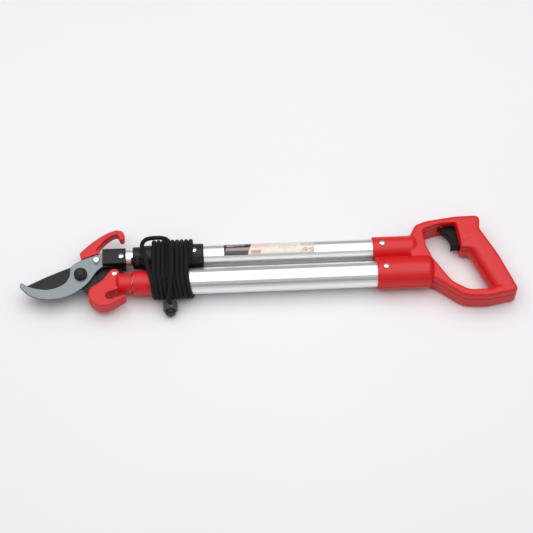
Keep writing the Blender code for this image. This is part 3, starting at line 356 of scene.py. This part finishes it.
red = moulded_plastic("moulded_red_polypropylene", "#cd0e12", "#d51418", 0.0007, 0.38, 0.46)
dress(red, "handle_shell_lower", "handle_shell_upper", "front_collar", "front_head", "branch_hook")

# The mould rounds every edge and blends the grip into its ends.
for name, voxel, passes in (("handle_shell_lower", 0.0009, 9), ("handle_shell_upper", 0.0009, 9),
                            ("front_head", 0.0006, 5), ("branch_hook", 0.0005, 5)):
    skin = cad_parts[name].modifiers.new("skin", "REMESH")
    skin.mode = "VOXEL"
    skin.voxel_size = voxel
    skin.use_smooth_shade = True
    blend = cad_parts[name].modifiers.new("blend", "SMOOTH")
    blend.factor = 0.5
    blend.iterations = passes

# ==== black mouldings ======================================================================
# Rear collar, tail bushes, lock wedge and cord lock button in black glass-filled nylon, with
# a dull skin that turns grey where the light grazes it. The trigger has a soft rubber skin.
black = moulded_plastic("moulded_black_nylon", "#0a0a0b", "#111112", 0.0006, 0.42, 0.55, 0.42)
dress(black, "rear_collar", "rear_tail_bush", "front_tail_bush", "lock_wedge", "cord_toggle_button")
dress(moulded_plastic("moulded_black_rubber_grip", "#040405", "#080809", 0.0009, 0.5, 0.62, 0.22),
      "trigger")

# ==== steel ================================================================================
# The hook plate is ground and satin chromed. The blade and its brace carry a baked charcoal
# coating, and the block that holds them is phosphated and oiled.


def satin_chromed_steel():
    """Grinding marks 0.3 mm wide across the plate under a thin grey chrome."""
    made, tree = new_material("satin_chromed_steel")
    place = add(tree, "TexCoord")
    marks = add(tree, "Mapping", {"Vector": place.outputs["Object"], "Rotation": (0, 0, 0.5),
                                  "Scale": (1 / 0.012, 1 / 0.0003, 1 / 0.002)})
    lines = add(tree, "TexNoise", {"Vector": marks.outputs[0], "Scale": 1.0, "Detail": 3.0})
    cloud = add(tree, "TexNoise", {"Vector": place.outputs["Object"], "Scale": 1 / 0.006, "Detail": 4.0})
    tint = add(tree, "Mix", {0: cloud.outputs[0], 6: linear("#747c7f"), 7: linear("#899194")},
               data_type="RGBA")
    rough = add(tree, "MapRange", {"Value": cloud.outputs[0], "To Min": 0.34, "To Max": 0.52})
    edge = add(tree, "Bevel", {"Radius": 0.0005}, samples=4)
    bump = add(tree, "Bump", {"Height": lines.outputs[0], "Strength": 0.2, "Distance": 0.00006,
                              "Normal": edge.outputs[0]})
    surface(tree, Base_Color=tint.outputs[2], Metallic=1.0, Roughness=rough.outputs[0],
            Normal=bump.outputs[0])
    return made


def coated_steel(name, dark, light, roughness):
    """Baked coating with a slight orange peel 1.5 mm across and fine speckle."""
    made, tree = new_material(name)
    place = add(tree, "TexCoord")
    peel = add(tree, "TexNoise", {"Vector": place.outputs["Object"], "Scale": 1 / 0.0015, "Detail": 2.0})
    speckle = add(tree, "TexNoise", {"Vector": place.outputs["Object"], "Scale": 1 / 0.0004, "Detail": 2.0})
    tint = add(tree, "Mix", {0: speckle.outputs[0], 6: linear(dark), 7: linear(light)},
               data_type="RGBA")
    edge = add(tree, "Bevel", {"Radius": 0.0005}, samples=4)
    bump = add(tree, "Bump", {"Height": peel.outputs[0], "Strength": 0.15, "Distance": 0.0001,
                              "Normal": edge.outputs[0]})
    surface(tree, Base_Color=tint.outputs[2], Metallic=0.35, Roughness=roughness, Normal=bump.outputs[0])
    return made


dress(satin_chromed_steel(), "hook_plate")
dress(coated_steel("charcoal_coated_steel", "#121314", "#1d1e20", 0.5), "cutting_blade", "brace_plate")
dress(coated_steel("phosphated_steel", "#0c0c0d", "#161617", 0.42), "head_block", "pivot_bolt", "pivot_nut")

# ==== fasteners ============================================================================
# Zinc-plated tubular rivets with domed heads, pan-head screws, and the rod and cable of the
# release in bright drawn wire.


def bright_zinc(name, tone, roughness):
    """Bright plating with faint clouding 2 mm across."""
    made, tree = new_material(name)
    cloud = add(tree, "TexNoise", {"Vector": add(tree, "TexCoord").outputs["Object"], "Scale": 1 / 0.002,
                                   "Detail": 3.0})
    rough = add(tree, "MapRange", {"Value": cloud.outputs[0], "To Min": roughness,
                                   "To Max": roughness + 0.12})
    surface(tree, Base_Color=linear(tone), Metallic=1.0, Roughness=rough.outputs[0])
    return made


zinc = bright_zinc("bright_zinc_plating", "#dadbdc", 0.12)
dress(zinc, "rear_collar_rivet", "rear_socket_rivet", "front_socket_rivet", "block_rivet", "ear_rivet",
      "shell_screw_1", "shell_screw_2", "shell_screw_3", "shell_screw_4", "trigger_pin", "branch_hook_screw")
wire_finish = bright_zinc("spring_wire", "#b9babc", 0.25)
dress(wire_finish, "release_rod", "release_cable")

# ==== trigger spring =======================================================================
# Compression spring of round steel wire in the grip, which pushes the trigger out.
# It is drawn at rest and moves with the handle frame.
COILS = 5
COIL_STEPS = 16
WIRE = 0.0008
spring_low, spring_high = [Vector(corner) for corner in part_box("trigger_spring")]
spring_middle = (spring_low + spring_high) / 2
coil_radius = (spring_high.z - spring_low.z - WIRE) / 2
coil_line = []
for step in range(COILS * COIL_STEPS + 1):
    angle = 2 * math.pi * step / COIL_STEPS
    coil_line.append(Vector((
        spring_low.x + WIRE / 2 + (spring_high.x - spring_low.x - WIRE) * step / (COILS * COIL_STEPS),
        spring_middle.y + coil_radius * math.cos(angle), spring_middle.z + coil_radius * math.sin(angle))))
spring = tube("trigger_return_spring", coil_line, WIRE / 2, 8)
spring.data.materials.append(wire_finish)
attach(spring, "handle_frame")
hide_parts("trigger_spring")
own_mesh(spring)

# ==== cord lock ============================================================================
# Barrel cord lock in grey acetal with a black button, moulded with a slight sheen.
dress(moulded_plastic("moulded_grey_acetal", "#3c3d3f", "#4a4b4d", 0.0008, 0.4, 0.5),
      "cord_toggle_body")

# ==== label ================================================================================
# Printed polyester film stuck round the upper side of the rear pole: a dark block with a
# slanted end, a cream panel with fine print reduced to plain lines, and a small colour patch.
LABEL_START = -0.0522
LABEL_LENGTH = 0.110
LABEL_FROM = math.radians(-34)
LABEL_TO = math.radians(42)
LABEL_STANDS = 0.00005    # off the pole
LABEL_THICKNESS = 0.00012
LABEL_COLUMNS = 44
LABEL_ROWS = 16
tube_radius = (rear_high.y - rear_low.y) / 2
rear_middle = Vector((0, rear_axis, (rear_low.z + rear_high.z) / 2))
mesh = bmesh.new()
wrap = mesh.loops.layers.uv.new("label")
grid = []
for column in range(LABEL_COLUMNS + 1):
    distance = Vector((LABEL_START + LABEL_LENGTH * column / LABEL_COLUMNS, 0, 0))
    row = []
    for step in range(LABEL_ROWS + 1):
        angle = LABEL_FROM + (LABEL_TO - LABEL_FROM) * step / LABEL_ROWS
        out = Vector((0, math.sin(angle), math.cos(angle))) * (tube_radius + LABEL_STANDS)
        row.append(mesh.verts.new(rear_middle + out + distance))
    grid.append(row)
for column in range(LABEL_COLUMNS):
    for step in range(LABEL_ROWS):
        corners = [(column, step), (column + 1, step), (column + 1, step + 1), (column, step + 1)]
        face = mesh.faces.new([grid[c][s] for c, s in corners])
        face.smooth = True
        for corner, (c, s) in zip(face.loops, corners):
            corner[wrap].uv = (c / LABEL_COLUMNS, s / LABEL_ROWS)
label = finished("label", mesh)
film = label.modifiers.new("film", "SOLIDIFY")
film.thickness = LABEL_THICKNESS
film.offset = 1


def printed_film():
    """Each field is a mask over the film's length and width; the gloss is the film's laminate."""
    made, tree = new_material("printed_polyester_film")
    place = add(tree, "UVMap", uv_map="label")
    parts = add(tree, "SeparateXYZ", {"Vector": place.outputs[0]})
    length, width = parts.outputs[0], parts.outputs[1]

    def between(value, low, high, soft=0.004):
        rise = add(tree, "MapRange", {"Value": value, "From Min": low - soft, "From Max": low + soft})
        fall = add(tree, "MapRange", {"Value": value, "From Min": high - soft, "From Max": high + soft,
                                      "To Min": 1.0, "To Max": 0.0})
        return add(tree, "Math", {0: rise.outputs[0], 1: fall.outputs[0]}, operation="MULTIPLY").outputs[0]

    def both(one, other):
        return add(tree, "Math", {0: one, 1: other}, operation="MULTIPLY").outputs[0]

    def paint(under, colour, mask):
        return add(tree, "Mix", {0: mask, 6: under, 7: linear(colour)}, data_type="RGBA").outputs[2]

    slant = add(tree, "MapRange", {"Value": width, "To Min": 0.0, "To Max": -0.045}).outputs[0]
    slanted = add(tree, "Math", {0: length, 1: slant}, operation="ADD").outputs[0]
    blotch = add(tree, "TexNoise", {"Vector": place.outputs[0], "Scale": 26.0, "Detail": 2.0}).outputs[0]
    blotches = add(tree, "MapRange", {"Value": blotch, "From Min": 0.45, "From Max": 0.6}).outputs[0]
    lines = add(tree, "Math", {0: width, 1: 46.0}, operation="MULTIPLY").outputs[0]
    waves = add(tree, "Math", {0: lines}, operation="SINE").outputs[0]
    print_lines = add(tree, "MapRange", {"Value": waves, "From Min": 0.5, "From Max": 0.9,
                                         "To Max": 0.45}).outputs[0]
    ink = paint(linear("#e9e2d8"), "#dcd3c2", blotches)
    ink = paint(ink, "#e8c9bd", both(between(length, 0.29, 0.50, 0.03), between(width, 0.55, 0.95, 0.1)))
    ink = paint(ink, "#c98f7e", both(between(length, 0.30, 0.41, 0.01), between(width, 0.08, 0.34, 0.05)))
    ink = paint(ink, "#8f8c88", both(both(between(length, 0.61, 0.80), between(width, 0.40, 0.80)),
                                     print_lines))
    ink = paint(ink, "#9a7f55", both(both(between(length, 0.86, 0.99, 0.02), between(width, 0.55, 0.85, 0.05)),
                                     blotches))
    ink = paint(ink, "#8d6a45", both(both(between(length, 0.86, 1.0, 0.02), between(width, 0.12, 0.40, 0.05)),
                                     blotches))
    ink = paint(ink, "#2a2625", between(slanted, -1.0, 0.262))
    ink = paint(ink, "#8e8c8a", both(between(slanted, 0.0, 0.262), between(width, 0.33, 0.58, 0.03)))
    ink = paint(ink, "#c98b7f", both(between(length, 0.03, 0.10), between(width, 0.68, 0.90, 0.02)))
    ink = paint(ink, "#8b8582", both(between(length, 0.10, 0.23), between(width, 0.72, 0.88, 0.02)))
    surface(tree, Base_Color=ink, Roughness=0.3, Coat_Weight=0.4, Coat_Roughness=0.15)
    return made


label.data.materials.append(printed_film())
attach(label, "handle_frame")

# ==== floor and light ======================================================================
# Seamless pale studio paper under one wide overhead softbox behind the tool, with grey walls.


def studio_paper():
    """Matt paper, a little uneven 0.4 m across."""
    made, tree = new_material("matt_studio_paper")
    cloud = add(tree, "TexNoise", {"Vector": add(tree, "TexCoord").outputs["Object"], "Scale": 1 / 0.4,
                                   "Detail": 1.0})
    tint = add(tree, "Mix", {0: cloud.outputs[0], 6: linear("#e8e8ea"), 7: linear("#ececed")},
               data_type="RGBA")
    surface(tree, Base_Color=tint.outputs[2], Roughness=0.9)
    return made


mesh = bmesh.new()
bmesh.ops.create_circle(mesh, cap_ends=True, segments=96, radius=5)
floor = finished("floor", mesh)
floor.data.materials.append(studio_paper())


def softbox(name, place, toward, size, power):
    """Rectangular light aimed at a point."""
    lamp = bpy.data.lights.new(name, "AREA")
    lamp.shape = "RECTANGLE"
    lamp.size, lamp.size_y = size
    lamp.energy = power
    made = placed(name, lamp)
    made.location = place
    made.rotation_euler = (Vector(toward) - Vector(place)).to_track_quat("-Z", "Y").to_euler()


softbox("overhead_softbox", (0.0, 0.15, 1.5), (0, 0, 0), (2.6, 2.0), 28)
world = bpy.data.worlds.new("studio")
world.use_nodes = True
room = world.node_tree
room.nodes.clear()
height = add(room, "SeparateXYZ", {"Vector": add(room, "TexCoord").outputs["Generated"]})
level = add(room, "MapRange", {"Value": height.outputs[2], "From Min": 0.05, "From Max": 0.7,
                               "To Min": 0.2, "To Max": 0.55})
grey = add(room, "Background", {"Color": linear("#e9eaec"), "Strength": level.outputs[0]})
add(room, "OutputWorld", {"Surface": grey.outputs[0]})
bpy.context.scene.world = world
bpy.context.scene.view_settings.view_transform = "Standard"
